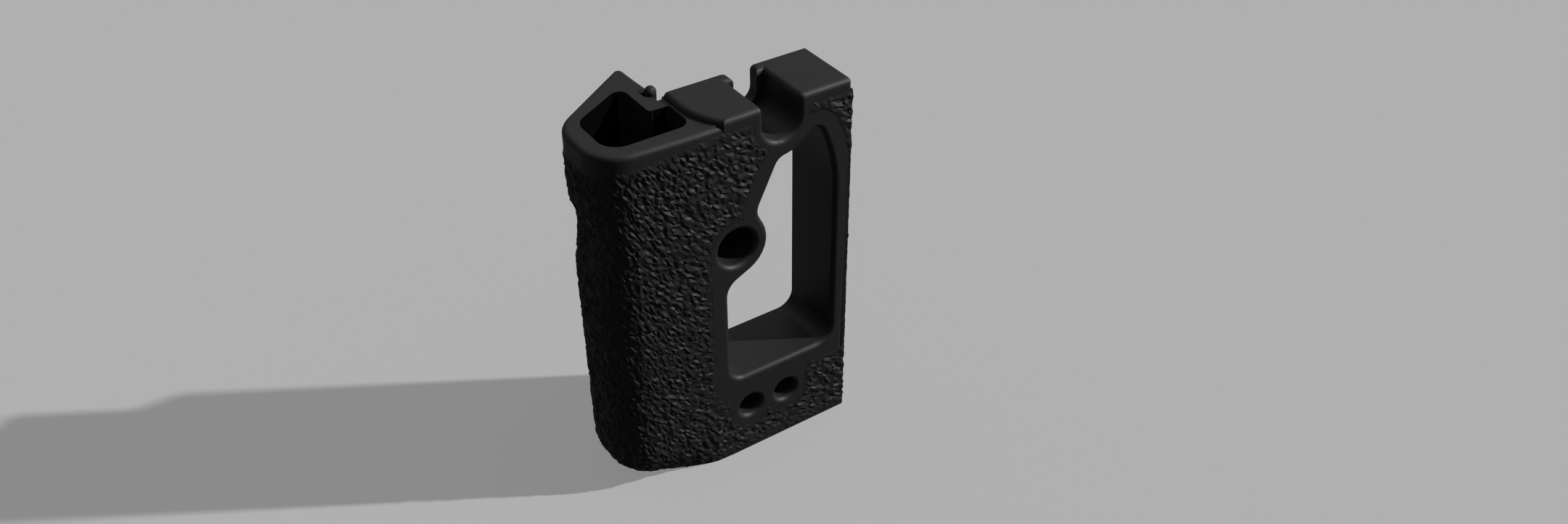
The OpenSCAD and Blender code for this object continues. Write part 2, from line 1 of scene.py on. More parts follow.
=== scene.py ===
# %% [markdown]
# # A camera l-bracket with a hollow hand grip
#
# The bracket is a thick plate that screws to a camera's side, with a window, a slot and two small
# holes, and a wing-shaped grip at its left. The construction comes as a fixed frame of solids.
# This lesson dresses that frame: it rounds the edges of the moulded pieces, turns the rubber pads
# into stippled skins, cuts the threads and knurls of the hardware, and lights it all on a plain floor.
# Lengths are in metres, and mm turns a size in millimetres into them.

# %% Load the frame
import math
import random

import bmesh
import bpy
import numpy as np
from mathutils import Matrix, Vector
from mathutils.geometry import delaunay_2d_cdt


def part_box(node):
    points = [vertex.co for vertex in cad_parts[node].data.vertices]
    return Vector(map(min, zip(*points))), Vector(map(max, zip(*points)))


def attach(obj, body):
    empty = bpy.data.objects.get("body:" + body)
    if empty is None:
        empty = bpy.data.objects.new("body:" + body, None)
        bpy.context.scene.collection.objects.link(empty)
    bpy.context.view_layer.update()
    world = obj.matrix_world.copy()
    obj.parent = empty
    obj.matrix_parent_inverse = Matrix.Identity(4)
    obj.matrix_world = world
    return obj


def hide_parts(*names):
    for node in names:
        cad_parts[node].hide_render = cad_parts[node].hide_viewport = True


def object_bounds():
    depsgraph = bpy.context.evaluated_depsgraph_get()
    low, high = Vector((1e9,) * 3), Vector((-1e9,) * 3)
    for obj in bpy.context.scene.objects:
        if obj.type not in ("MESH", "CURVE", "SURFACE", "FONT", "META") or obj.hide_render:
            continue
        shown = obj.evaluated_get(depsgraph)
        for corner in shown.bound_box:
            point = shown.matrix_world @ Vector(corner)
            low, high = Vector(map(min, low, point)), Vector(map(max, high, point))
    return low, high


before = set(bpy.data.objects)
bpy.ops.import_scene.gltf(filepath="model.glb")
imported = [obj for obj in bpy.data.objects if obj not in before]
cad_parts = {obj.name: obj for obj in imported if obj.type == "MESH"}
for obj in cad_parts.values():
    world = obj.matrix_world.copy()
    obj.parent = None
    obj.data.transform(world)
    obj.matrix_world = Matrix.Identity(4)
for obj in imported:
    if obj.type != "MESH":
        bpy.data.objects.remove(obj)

solid_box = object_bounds()
mm = 0.001
print("solids from", [round(c / mm, 2) for c in solid_box[0]], "to", [round(c / mm, 2) for c in solid_box[1]])

# %% [markdown]
# ## Camera
#
# The photograph looks down on the bracket's front left. Its viewpoint was worked out from the
# vanishing points of the straight edges, so the camera is placed by numbers and not by eye.
# A depth of field or a lens shift isn't needed.

# %% Set up the camera
camera_place = Vector((-136.16, -240.23, 187.32)) * mm
camera_heading = math.radians(34.22)
camera_pitch = math.radians(36.494)
camera_data = bpy.data.cameras.new("camera")
camera_data.sensor_width = 36
camera_data.lens = 30.083
camera_data.clip_start = 10 * mm
camera = bpy.data.objects.new("camera", camera_data)
bpy.context.scene.collection.objects.link(camera)
sight = Vector((math.sin(camera_heading) * math.cos(camera_pitch),
                math.cos(camera_heading) * math.cos(camera_pitch),
                -math.sin(camera_pitch)))
camera.location = camera_place
camera.rotation_euler = sight.to_track_quat("-Z", "Y").to_euler()
bpy.context.scene.camera = camera
print("camera looks along", [round(c, 3) for c in sight])

# %% [markdown]
# ## A way to write finishes
#
# Shader graphs drawn by hand are hard to read in a script. Here one class wraps a socket, so that
# sums on values are written as plain sums and add their Math nodes, and another holds a material,
# with one method that makes any node. Colours go through Mix nodes, because Math turns them grey.

# %% Sockets that can be added and multiplied
# Where the colour sockets of a Mix node stand among its inputs and outputs
mix_factor, mix_a, mix_b, mix_result = 0, 6, 7, 2


class Wire:
    """A socket of a finish that takes part in plain sums."""

    def __init__(self, finish, socket):
        self.finish = finish
        self.socket = socket

    def math(self, operation, a, b):
        return self.finish.node("ShaderNodeMath", {"operation": operation}, {0: a, 1: b})

    def __add__(self, other):
        return self.math("ADD", self, other)

    def __mul__(self, other):
        return self.math("MULTIPLY", self, other)

    def __sub__(self, other):
        return self.math("SUBTRACT", self, other)

    def __rsub__(self, other):
        return self.math("SUBTRACT", other, self)

    def at_least(self, other):
        return self.math("MAXIMUM", self, other)

    __radd__ = __add__
    __rmul__ = __mul__


class Finish:
    """A material or a world built of nodes, measured in millimetres of the object's own space."""

    def __init__(self, data):
        self.data = data
        self.data.use_nodes = True
        self.tree = self.data.node_tree
        self.tree.nodes.clear()

    def node(self, kind, settings, inputs, output=0):
        """Any node, with its settings, the values or links of its sockets, and the output to use."""
        made = self.tree.nodes.new(kind)
        for key, value in settings.items():
            setattr(made, key, value)
        for key, value in inputs.items():
            if isinstance(value, Wire):
                self.tree.links.new(value.socket, made.inputs[key])
            else:
                made.inputs[key].default_value = value
        if made.outputs:
            return Wire(self, made.outputs[output])

    def place(self):
        """The surface point in millimetres."""
        here = self.node("ShaderNodeTexCoord", {}, {}, "Object")
        return self.node("ShaderNodeVectorMath", {"operation": "SCALE"}, {0: here, "Scale": 1 / mm})

    def noise(self, scale):
        """Noise from 0 to 1 with scale bumps to a millimetre."""
        return self.node("ShaderNodeTexNoise", {},
                         {"Vector": self.place(), "Scale": scale, "Detail": 3.0, "Roughness": 0.55})

    def tint(self, factor, a, b):
        """A colour between a and b."""
        return self.node("ShaderNodeMix", {"data_type": "RGBA"},
                         {mix_factor: factor, mix_a: a, mix_b: b}, mix_result)

    def bump(self, height, distance):
        """A normal that is tilted as if the surface rose by a height from 0 to 1 of the distance."""
        return self.node("ShaderNodeBump", {}, {"Height": height, "Distance": distance, "Strength": 1.0})

    def surface(self, inputs):
        """The finished material, with these inputs of its one shader."""
        shader = self.node("ShaderNodeBsdfPrincipled", {}, inputs)
        self.node("ShaderNodeOutputMaterial", {}, {"Surface": shader})
        return self.data


def grey(value, blue=1.0):
    """A grey, or with more or less blue a cool or a warm one."""
    return (value, value, value * blue, 1.0)


print("a finish is made by", [name for name in vars(Finish) if not name.startswith("_")])

# %% [markdown]
# ## The light
#
# The shadow in the photograph is a crisp even band that runs to the left and a little back, so one
# far lamp stands to the right of the front, 30 degrees up. A sun lamp is the choice, because its rays
# are parallel. The world gives the rest: a wide soft light from above, a weak one from low behind,
# like the light that a pale floor sends up there, and next to nothing from the left, where the
# photograph's faces are nearly black.

# %% Sun
bpy.context.scene.view_settings.view_transform = "Standard"
sun_from = Vector((0.749, -0.436, 0.5))
sun_data = bpy.data.lights.new("sun", "SUN")
sun_data.energy = 2.7
sun_data.angle = math.radians(1.2)


def lamp(name, data):
    """A lamp that shines from where the sun stands."""
    made = bpy.data.objects.new(name, data)
    bpy.context.scene.collection.objects.link(made)
    made.rotation_euler = sun_from.to_track_quat("Z", "Y").to_euler()
    return made


lamp("sun", sun_data)
print("sun stands", round(math.degrees(math.asin(sun_from.normalized().z)), 1), "degrees up")

# %% World
world = bpy.data.worlds.new("world")
bpy.context.scene.world = world
sky = Finish(world)
outwards = sky.node("ShaderNodeTexCoord", {}, {}, "Generated")


def towards(direction):
    """How far a ray of the world points to a direction, from -1 to 1."""
    return sky.node("ShaderNodeVectorMath", {"operation": "DOT_PRODUCT"},
                    {0: outwards, 1: direction}, "Value")


all_round, most_behind, most_overhead = 0.035, 0.11, 0.45
overhead = towards((0.3, 0.1, 0.95)).at_least(0.0)
behind = towards((-0.1, 0.8, -0.59)).at_least(0.0)
level = all_round + most_behind * behind * behind + most_overhead * overhead * overhead
sky.node("ShaderNodeOutputWorld", {},
         {"Surface": sky.node("ShaderNodeBackground", {}, {"Color": grey(1.0), "Strength": level})})
print("world:", all_round, "all round, up to", most_behind, "from behind and", most_overhead, "from above")

# %% [markdown]
# ## The floor
#
# The floor is plain, matt and pale. Black plastic mirrors a little of whatever is around it, and the
# photograph's faces neither mirror a floor nor are lit from one, so the floor is left out of the rays
# that find reflections and soft light. Its grey comes from two things that don't reach the object: a
# second sun, linked to the floor alone, which keeps the shadow crisp, and a glow for camera, glossy
# and transmission rays. Brighter lamps for everything would wash out the black instead.

# %% Lay the floor
floor_z = solid_box[0].z
floor_reach = 12.0
floor_mesh = bpy.data.meshes.new("floor")
floor_mesh.from_pydata([(-floor_reach, -floor_reach, floor_z), (floor_reach, -floor_reach, floor_z),
                        (floor_reach, floor_reach, floor_z), (-floor_reach, floor_reach, floor_z)],
                       [], [(0, 1, 2, 3)])
floor = bpy.data.objects.new("floor", floor_mesh)
bpy.context.scene.collection.objects.link(floor)
floor.visible_glossy = False
floor.visible_diffuse = False
print("floor at", round(floor_z / mm, 2), "mm")

# %% Give the floor its grey
floor_grey = 0.1
floor_glow = 0.235
paper = Finish(bpy.data.materials.new("floor_paper"))
matt = paper.node("ShaderNodeBsdfDiffuse", {}, {"Color": grey(floor_grey)})
seen = sum(paper.node("ShaderNodeLightPath", {}, {}, ray)
           for ray in ("Is Camera Ray", "Is Glossy Ray", "Is Transmission Ray"))
glow = paper.node("ShaderNodeEmission", {}, {"Color": grey(1.0), "Strength": seen * floor_glow})
both = paper.node("ShaderNodeAddShader", {}, {0: matt, 1: glow})
paper.node("ShaderNodeOutputMaterial", {}, {"Surface": both})
floor.data.materials.append(paper.data)
floor_sun_data = sun_data.copy()
floor_sun_data.energy = 8.2
floor_sun = lamp("floor_sun", floor_sun_data)
lit = bpy.data.collections.new("lit_by_floor_sun")
lit.objects.link(floor)
floor_sun.light_linking.receiver_collection = lit
print("the floor's own sun is", round(floor_sun_data.energy / sun_data.energy, 1), "times the object's")

# %% [markdown]
# ## The body's polymer
#
# Plate, grip shell, collar and foot cap are moulded in one black, glass-filled nylon: a satin black
# with a very fine grain, and a slightly more polished edge where hands rub it. The grain is a bump
# of two noises, since geometry that fine would be wasted. The rounded edges carry a mark, called rub,
# that the finish reads. The walls inside the pocket that look at the camera are nearly black in the
# photograph: a second mark paints shade on them and pulls their colour almost to black.

# %% Black nylon
def nylon(name, shade, grain):
    """Moulded nylon of a shade, with a grain so many millimetres high."""
    finish = Finish(bpy.data.materials.new(name))
    cloud = finish.noise(0.05)
    speck = finish.noise(2.2)
    rub = finish.node("ShaderNodeAttribute", {"attribute_name": "rub"}, {}, "Fac")
    worn = rub * finish.noise(0.6)
    base = finish.tint(cloud * 0.6 + speck * 0.4, grey(shade * 0.86), grey(shade * 1.14, 1.04))
    deep = finish.node("ShaderNodeAttribute", {"attribute_name": "deep"}, {}, "Fac")
    # Painted shade: the pocket's marked walls have their colour pulled almost to black
    colour = finish.tint(deep * 0.9, finish.tint(worn * 0.5, base, grey(shade * 1.5)), grey(0.0))
    rough = 0.54 + 0.08 * speck - 0.06 * worn - 0.25 * deep
    height = finish.noise(3.5) * 0.7 + finish.noise(9.0) * 0.3
    return finish.surface({"Base Color": colour, "Roughness": rough, "IOR": 1.5,
                           "Normal": finish.bump(height, grain * mm)})


body_nylon = nylon("body_nylon", 0.017, 0.015)
print(body_nylon.name, "has", len(body_nylon.node_tree.nodes), "nodes")

# %% [markdown]
# ## The stippled rubber
#
# The pads and the grip's skin are a black rubber with crumpled facets. The facets are geometry, so
# the finish only adds what is smaller: a fine grain and a tone that differs a little from place to
# place. Both are noise, which doesn't repeat as a tiled picture would.

# %% Rubber
def rubber(name, shade, rough):
    """Moulded rubber of a shade and a roughness."""
    finish = Finish(bpy.data.materials.new(name))
    cloud = finish.noise(0.12)
    speck = finish.noise(1.6)
    colour = finish.tint(cloud * 0.5 + speck * 0.5, grey(shade * 0.8), grey(shade * 1.2))
    height = finish.noise(6.0)
    return finish.surface({"Base Color": colour, "Roughness": rough + 0.1 * speck, "IOR": 1.5,
                           "Normal": finish.bump(height, 0.02 * mm)})


stipple_rubber = rubber("stipple_rubber", 0.012, 0.56)
soft_rubber = rubber("soft_rubber", 0.024, 0.6)
print(stipple_rubber.name, "and", soft_rubber.name, "are made")

# %% [markdown]
# ## The metals
#
# The camera screw, its washer and the dowels are bright steel, the small screws and the clip are
# blackened, and the inserts are brass. Turning leaves fine rings, too fine to be cut into the mesh, so
# a noise gives them that is squeezed along the axis and drawn out across it.

# %% Steel and brass
def metal(name, colour, rough, streak):
    """A metal of a colour and a roughness, with streak marks to a millimetre along each axis."""
    finish = Finish(bpy.data.materials.new(name))
    stretched = finish.node("ShaderNodeVectorMath", {"operation": "MULTIPLY"}, {0: finish.place(), 1: streak})
    rings = finish.node("ShaderNodeTexNoise", {}, {"Vector": stretched, "Scale": 1.0, "Detail": 4.0})
    blotch = finish.noise(0.5)
    dark = tuple(c * 0.8 for c in colour) + (1.0,)
    return finish.surface({"Base Color": finish.tint(blotch, dark, colour + (1.0,)), "Metallic": 1.0,
                           "Roughness": rough + 0.12 * rings + 0.06 * blotch,
                           "Normal": finish.bump(rings, 0.01 * mm)})


bright_steel = metal("bright_steel", (0.62, 0.61, 0.60), 0.24, (0.4, 14.0, 0.4))
black_steel = metal("black_steel", (0.045, 0.045, 0.05), 0.36, (0.5, 0.5, 10.0))
brass = metal("brass", (0.70, 0.50, 0.20), 0.26, (0.5, 0.5, 12.0))
print(bright_steel.name + ",", black_steel.name, "and", brass.name, "are made")

# %% [markdown]
# ## Rounded edges on the moulded pieces
#
# The solids have sharp edges, but the edges of the real moulding have a radius of about 1.5 mm, and
# it is this radius that catches the light. A bevel modifier would need a weight on every edge, so
# chosen edges are bevelled on a copy of the mesh. The copy is welded first, and its flat faces are
# joined, so that the bevel sees only real edges.

# %% Work a copy of a solid
weld = 0.002 * mm
flat = math.radians(0.5)
corner = math.radians(30)
blend_angle = math.radians(28)


def copy_of(node, change=None):
    """A welded copy of a solid, with each flat face in one piece. change may move its points."""
    work = bmesh.new()
    work.from_mesh(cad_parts[node].data)
    bmesh.ops.remove_doubles(work, verts=work.verts, dist=weld)
    for v in work.verts if change else ():
        change(v.co)
    work.normal_update()
    bmesh.ops.dissolve_limit(work, angle_limit=flat, verts=work.verts, edges=work.edges)
    return work


def is_edge(edge):
    """True for a sharp edge that points out of the solid."""
    return len(edge.link_faces) == 2 and edge.is_convex and edge.calc_face_angle() > corner


def round_edges(work, edges, radius, segments):
    """Round edges of a mesh, and mark the new faces as rubbed."""
    before = set(work.faces)
    bmesh.ops.bevel(work, geom=edges, offset=radius, offset_type="OFFSET", segments=segments,
                    profile=0.5, affect="EDGES", clamp_overlap=False, loop_slide=True)
    rub = work.faces.layers.float.get("rub") or work.faces.layers.float.new("rub")
    for face in work.faces:
        if face not in before:
            face[rub] = 1.0


print("edges sharper than", round(math.degrees(corner)), "degrees can be rounded")

# %% Put a piece in place
def piece(name, body, work, finish, slot, *nodes):
    """The worked mesh as a piece of the object, in place of the named solids."""
    mesh = bpy.data.meshes.new(name)
    work.to_mesh(mesh)
    work.free()
    made = bpy.data.objects.new(name, mesh)
    bpy.context.scene.collection.objects.link(made)
    mesh.materials.append(finish)
    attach(made, body)
    if nodes:
        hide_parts(*nodes)
    print(name, len(mesh.vertices), "points,", len(mesh.polygons), "faces")
    return made


def smooth(made):
    """Smooth shading over the small angles, in which the large faces keep their own normals."""
    mesh = made.data
    mesh.shade_smooth()
    faces_at = [[] for _ in mesh.vertices]
    for face in mesh.polygons:
        for i in face.vertices:
            faces_at[i].append((face.normal.copy(), face.area))
    limit = math.cos(blend_angle)
    normals = []
    for face in mesh.polygons:
        for i in face.vertices:
            near_ones = [n * area for n, area in faces_at[i] if n.dot(face.normal) > limit]
            normals.append(sum(near_ones, Vector()).normalized() if near_ones else face.normal.copy())
    mesh.normals_split_custom_set(normals)
    return made


print("faces within", round(math.degrees(blend_angle)), "degrees of each other are shaded as one")

# %% [markdown]
# ## Levels that the pieces share
#
# The bracket's edges are found by where they lie: the top, the rim of the grip, the front, the camera
# face and the right edge. These levels come from the frame, so a change of the solids moves them too.
# Picking edges by their numbers would break with the next change.

# %% Read the levels
near = 0.01 * mm
plate_low, plate_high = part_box("plate_body")
top_z = plate_high.z
rim_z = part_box("top_collar")[1].z
front_y = plate_low.y
face_y = plate_high.y
edge_x = plate_high.x
# From the right edge to the block's front left corner, and to the seam between plate and grip
block_reach, seam_reach = 36.5 * mm, 41.3 * mm
block_x = edge_x - block_reach
seam_x = edge_x - seam_reach
print("rim", round((top_z - rim_z) / mm, 2), "mm below the top")

# %% Tell where edges and faces lie
def at_level(edge, axis, level):
    """True for an edge that lies at a level of an axis."""
    return all(abs(v.co[axis] - level) < near for v in edge.verts)


def wall_depth(edge, axis):
    """How far the walls beside an edge reach along an axis."""
    return max(max(v.co[axis] for v in f.verts) - min(v.co[axis] for v in f.verts) for f in edge.link_faces)


def upright(face):
    """True for a face that isn't level."""
    return abs(face.normal.z) < 0.9


print("levels hold to", near / mm, "mm")

# %% [markdown]
# ## The plate
#
# All the outer edges of the top, the window, the slot and the holes are rounded. The block's left
# rear corner is rounded only where it stands above the rim, so the mesh is first cut at the rim's
# level. All the edges go through one bevel, because a second one would catch on the first one's ends.

# %% Copy the plate
rim_r = 1.45 * mm
rim_steps = 5
front_lean = 0.25 * mm
cut_slack = 1e-7


def straighten(place):
    """The front leans back a little between the block and the seam. Here it becomes one plane."""
    if front_y < place.y < front_y + front_lean and place.x < block_x - near:
        place.y = front_y


work = copy_of("plate_body", straighten)
bmesh.ops.bisect_plane(work, geom=work.verts[:] + work.edges[:] + work.faces[:], dist=cut_slack,
                       plane_co=(0, 0, rim_z), plane_no=(0, 0, 1))
print("plate:", len(work.faces), "faces before the bevel")

# %% Round the plate
joint_gap = 0.1 * mm
seat_depth = 4.2 * mm
least_wall = 3 * mm
square = math.radians(80)


def at_joint(edge):
    """True for the front edges that lie against the grip, under the collar or over the side skin."""
    ends = [v.co for v in edge.verts]
    hangs_over = any(f.normal.z < 0 and not upright(f) for f in edge.link_faces)
    over_skin = hangs_over and any(p.x > edge_x - near for p in ends)
    at_seam = all(p.x < seam_x + joint_gap for p in ends)
    at_seat = all(p.z > rim_z - seat_depth for p in ends) and min(p.z for p in ends) < rim_z - near
    return at_seam or over_skin or (at_seat and all(p.x < block_x + near for p in ends))


outer = [e for e in work.edges if is_edge(e)]
top_edges = [e for e in outer if at_level(e, 2, top_z)]
corner_edges = [e for e in outer if e.calc_face_angle() > square
                and all(v.co.x < seam_x + near and v.co.y > face_y - near for v in e.verts)
                and min(v.co.z for v in e.verts) > rim_z - near]
front_edges = [e for e in outer if at_level(e, 1, front_y) and wall_depth(e, 1) > least_wall
               and not at_joint(e)]
back_edges = [e for e in outer if at_level(e, 1, face_y) and wall_depth(e, 1) > least_wall
              and not at_level(e, 2, top_z)
              and all(seam_x + near < v.co.x < edge_x - near for v in e.verts)]
print("plate:", len(top_edges), "top,", len(corner_edges), "corner,", len(front_edges), "front and",
      len(back_edges), "back edges")
chosen = set(top_edges + corner_edges + front_edges + back_edges)
round_edges(work, [e for e in work.edges if e in chosen], rim_r, rim_steps)
smooth(piece("plate_body_moulded", "bracket", work, body_nylon, "body_polymer", "plate_body"))

# %% [markdown]
# ## The collar
#
# The rim ring is rounded on its outer side only. Its mouth stays crisp, and so does the line where
# it meets the raised block. A wall belongs to the outer side when it faces away from the middle of
# the pocket, which is simpler than following the ring's outline.

# %% The collar
work = copy_of("top_collar")
pocket_in = 8 * mm
pocket_mid = Vector((seam_x - pocket_in, face_y - pocket_in, 0))
flank_start = front_y + 0.5 * mm
rim_edges = []
for e in work.edges:
    if is_edge(e) and at_level(e, 2, rim_z):
        middle = (e.verts[0].co + e.verts[1].co) / 2
        wall = min(e.link_faces, key=lambda f: abs(f.normal.z))
        faces_out = wall.normal.dot(middle - pocket_mid) > 0
        at_block = all(v.co.x > seam_x - near and v.co.y > flank_start for v in e.verts)
        if faces_out and not at_block:
            rim_edges.append(e)
print("collar:", len(rim_edges), "rim edges")
round_edges(work, rim_edges, rim_r, rim_steps)

# %% Paint shade into the pocket's walls
def mark_deep(work):
    """Mark the walls inside the pocket for painted shade, apart from those that look to the left."""
    deep = work.faces.layers.float.new("deep")
    for face in work.faces:
        middle = face.calc_center_median()
        inwards = face.normal.dot(Vector((pocket_mid.x - middle.x, pocket_mid.y - middle.y, 0))) > 0
        if upright(face) and inwards and face.normal.x > -0.2:
            face[deep] = 1.0


mark_deep(work)
smooth(piece("top_collar_moulded", "bracket", work, body_nylon, "body_polymer", "top_collar"))

# %% [markdown]
# ## The shell and the foot cap
#
# The grip's shell shows only in its pocket and behind the grip, and the foot cap only from below and
# at its rear. Their solids already have the right form, so both are shaded smoothly and no more, and
# the shell's pocket gets the same painted shade as the collar's.

# %% The shell and the foot cap
work = copy_of("grip_shell")
mark_deep(work)
smooth(piece("grip_shell_moulded", "bracket", work, body_nylon, "body_polymer", "grip_shell"))
smooth(piece("foot_cap_moulded", "bracket", copy_of("foot_cap"), body_nylon, "body_polymer", "foot_cap"))

# %% [markdown]
# ## The sheet that all the stipple lies on
#
# The stippled skins meet at the plate's seam, along the foot and at the right edge, and the stipple
# runs over these joints. So the whole textured surface is unrolled into one flat sheet: its height is
# z, and its width follows x on the front, the way round the grip to the left of the seam, and the
# depth on the right side. One net is drawn on the sheet and then shared out. Texturing each pad by
# itself would leave a break in the stipple at every joint.

# %% Sections of the grip, read from the solids
fewest_points = 20


def level_points(node):
    """A solid's mesh, and its points in levels from low to high. Levels of few points are left out."""
    work = bmesh.new()
    work.from_mesh(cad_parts[node].data)
    bmesh.ops.remove_doubles(work, verts=work.verts, dist=weld)
    levels = {}
    for v in work.verts:
        levels.setdefault(round(v.co.z / near), []).append(v)
    return work, [levels[key] for key in sorted(levels) if len(levels[key]) > fewest_points]


def follow_level(members, here, count):
    """Points of a level in order round the side of a solid, from the seam to the left."""
    members = set(members)
    points = [here.co.copy()]
    last = None
    while len(points) < count:
        ahead = [e.other_vert(here) for e in here.link_edges
                 if e.other_vert(here) in members and any(upright(f) for f in e.link_faces)]
        onward = [v for v in ahead if v is not last]
        step = min(onward, key=lambda v: v.co.x) if last is None else onward[0]
        last, here = here, step
        points.append(here.co.copy())
    return points


# One half of the points of a level of the skin lies on its outer side
work, levels = level_points("grip_skin")
skin_sections = []
for members in levels:
    seam_edge = max(v.co.x for v in members)
    outer_end = min((v for v in members if seam_edge - v.co.x < near), key=lambda v: v.co.y)
    skin_sections.append(follow_level(members, outer_end, len(members) // 2))
work.free()
skin_count = len(skin_sections[0])
print("skin:", len(skin_sections), "sections of", skin_count, "points")

# %% Move the skin's sections back to the surface that it stands proud of
proud = 0.45 * mm
seam_fit = 0.02 * mm


def sideways(section, distance):
    """A section moved outwards in its own level."""
    moved = []
    for i, p in enumerate(section):
        ahead = section[min(i + 1, len(section) - 1)] - section[max(i - 1, 0)]
        out = Vector((0, -1, 0)) if i == 0 else Vector((ahead.y, -ahead.x, 0)).normalized() * -1
        moved.append(p + out * distance)
    return moved


grip_sections = [sideways(section, -proud) for section in skin_sections]
work, levels = level_points("foot_cap")
foot_sections = []
for members in levels:
    at_seam = [v for v in members if abs(v.co.x - seam_x) < seam_fit]
    if at_seam:
        foot_sections.append(follow_level(members, min(at_seam, key=lambda v: v.co.y), skin_count))
work.free()
grip_sections = foot_sections[:-1] + grip_sections
heights = [section[0].z for section in grip_sections]
way = [0.0]
for p, q in zip(grip_sections[-1], grip_sections[-1][1:]):
    way.append(way[-1] + (q - p).length)
print("sheet:", round(way[-1] / mm, 1), "mm round the grip, levels at",
      [round((z - floor_z) / mm, 1) for z in heights])

# %% From the sheet to the object
# The grip's sections start a little behind the front, and reach their own place over this way
seam_step = grip_sections[-1][0].y - front_y
blend_reach = 17 * mm


def span(marks, value):
    """The stretch between marks that holds a value, and its share of it."""
    i = min(max(int(np.searchsorted(marks, value)) - 1, 0), len(marks) - 2)
    return i, (value - marks[i]) / (marks[i + 1] - marks[i])


def on_grip(u, v):
    """The point of the grip that lies u round and v up, and the way out of it."""
    i, s = span(way, u)
    k, t = span(heights, v)
    a, b = grip_sections[k][i], grip_sections[k][i + 1]
    c, d = grip_sections[k + 1][i], grip_sections[k + 1][i + 1]
    round_way = (b - a).lerp(d - c, t)
    up_way = (c - a).lerp(d - b, s)
    point = a.lerp(b, s).lerp(c.lerp(d, s), t)
    point.y -= seam_step * max(0.0, 1 - u / blend_reach)
    return point, up_way.cross(round_way).normalized()


def on_sheet(u, v):
    """The object's point for a point of the sheet, and the way out."""
    if u < seam_x:
        return on_grip(seam_x - u, v)
    if u > edge_x + near:
        return Vector((edge_x, front_y + u - edge_x, v)), Vector((1, 0, 0))
    if u > edge_x - near:
        return Vector((edge_x, front_y, v)), Vector((1, -1, 0))
    return Vector((u, front_y, v)), Vector((0, -1, 0))


print("the grip's sections start", round(seam_step / mm, 3), "mm behind the front")

# %% [markdown]
# ## A net of uneven triangles
#
# Points are spread over the sheet in jittered rows and joined into even triangles, with the outlines
# of the pads and the right edge's crease kept as lines. Each triangle then belongs to one pad. In the
# photograph the facets get narrower and fall to the right towards the grip's bend, so the rows are
# laid in a stretched and slanted space, called woven, in which the facets are even. A displacement
# texture would be quicker, but it gives soft bumps and no flat facets.

# %% The weave of the net
facet_wide, facet_high = 1.05 * mm, 0.72 * mm
# Along the sheet, from the grip's end to the right side: width of a facet, and its fall to the right
weave = [(seam_x - way[-1], 0.80, 0.1), (seam_x - 52 * mm, 0.75, 0.3), (seam_x - 34 * mm, 0.70, 0.8),
         (seam_x - 20 * mm, 0.75, 0.9), (seam_x - 9 * mm, 0.95, 0.5), (seam_x, 1.10, 0.35),
         (edge_x, 1.10, 0.25), (edge_x + 20 * mm, 1.0, 0.0)]
weave_marks = 600
weave_x = np.linspace(weave[0][0], weave[-1][0], weave_marks)
stretch = np.interp(weave_x, [w[0] for w in weave], [1 / w[1] for w in weave])
fall = np.interp(weave_x, [w[0] for w in weave], [w[2] for w in weave])
weave_step = weave_x[1] - weave_x[0]
woven_x = np.cumsum(stretch) * weave_step * facet_wide / mm
woven_drop = np.cumsum(fall) * weave_step


def woven(points):
    """Points of the sheet in the space where the facets are even."""
    x, v = points[:, 0], points[:, 1]
    return np.stack([np.interp(x, weave_x, woven_x), v + np.interp(x, weave_x, woven_drop)], 1)


def unwoven(points):
    """The way back from there."""
    x = np.interp(points[:, 0], woven_x, weave_x)
    return np.stack([x, points[:, 1] - np.interp(x, weave_x, woven_drop)], 1)


print("woven space is", round((woven_x[-1] - woven_x[0]) / mm), "mm wide")

# %% Points and outlines
def inside(loops, points):
    """Which points lie within closed loops, by the even-odd rule."""
    hits = np.zeros(len(points), bool)
    x, y = points[:, 0], points[:, 1]
    for loop in loops:
        a = np.array(loop)
        b = np.roll(a, -1, axis=0)
        for (x0, y0), (x1, y1) in zip(a, b):
            if y0 == y1:
                continue
            crosses = (y0 > y) != (y1 > y)
            hits ^= crosses & (x < x0 + (y - y0) / (y1 - y0) * (x1 - x0))
    return hits


def clear_of(lines, points, gap):
    """Which points lie at least gap from every line. tiny keeps a line of no length from failing."""
    tiny = 1e-18
    free = np.ones(len(points), bool)
    for p, q in lines:
        side = q - p
        share = np.clip(((points - p) @ side) / max(side @ side, tiny), 0, 1)
        free &= np.hypot(*(points - p - share[:, None] * side).T) > gap
    return free


def split_line(p, q, step):
    """Points from p to before q. Level and upright lines share their marks with their neighbours."""
    crowd = 0.3 * step
    for axis in (0, 1):
        if abs(p[1 - axis] - q[1 - axis]) < near:
            low, high = sorted((p[axis], q[axis]))
            marks = [k * step for k in range(math.ceil(low / step), math.floor(high / step) + 1)]
            marks = [m for m in marks if m - low > crowd and high - m > crowd]
            if p[axis] > q[axis]:
                marks.reverse()
            return [p] + [(m, p[1]) if axis == 0 else (p[0], m) for m in marks]
    n = max(1, math.ceil(math.dist(p, q) / step))
    return [(p[0] + (q[0] - p[0]) * i / n, p[1] + (q[1] - p[1]) * i / n) for i in range(n)]


print("facets are", round(facet_wide / mm, 2), "mm wide and", round(facet_high / mm, 2), "mm high there")

# %% The net
least_gap = 0.42 * facet_high


def lines_of(regions, creases):
    """The points on the outlines and creases, and the pairs of them that are joined."""
    points, sides = [], []
    for loop in [loop for loops in regions.values() for loop in loops]:
        start = len(points)
        for p, q in zip(loop, loop[1:] + loop[:1]):
            points += split_line(p, q, facet_wide)
        n = len(points) - start
        sides += [(start + i, start + (i + 1) % n) for i in range(n)]
    for p, q in creases:
        start = len(points)
        points += split_line(p, q, facet_wide) + [q]
        sides += [(i, i + 1) for i in range(start, len(points) - 1)]
    return points, sides


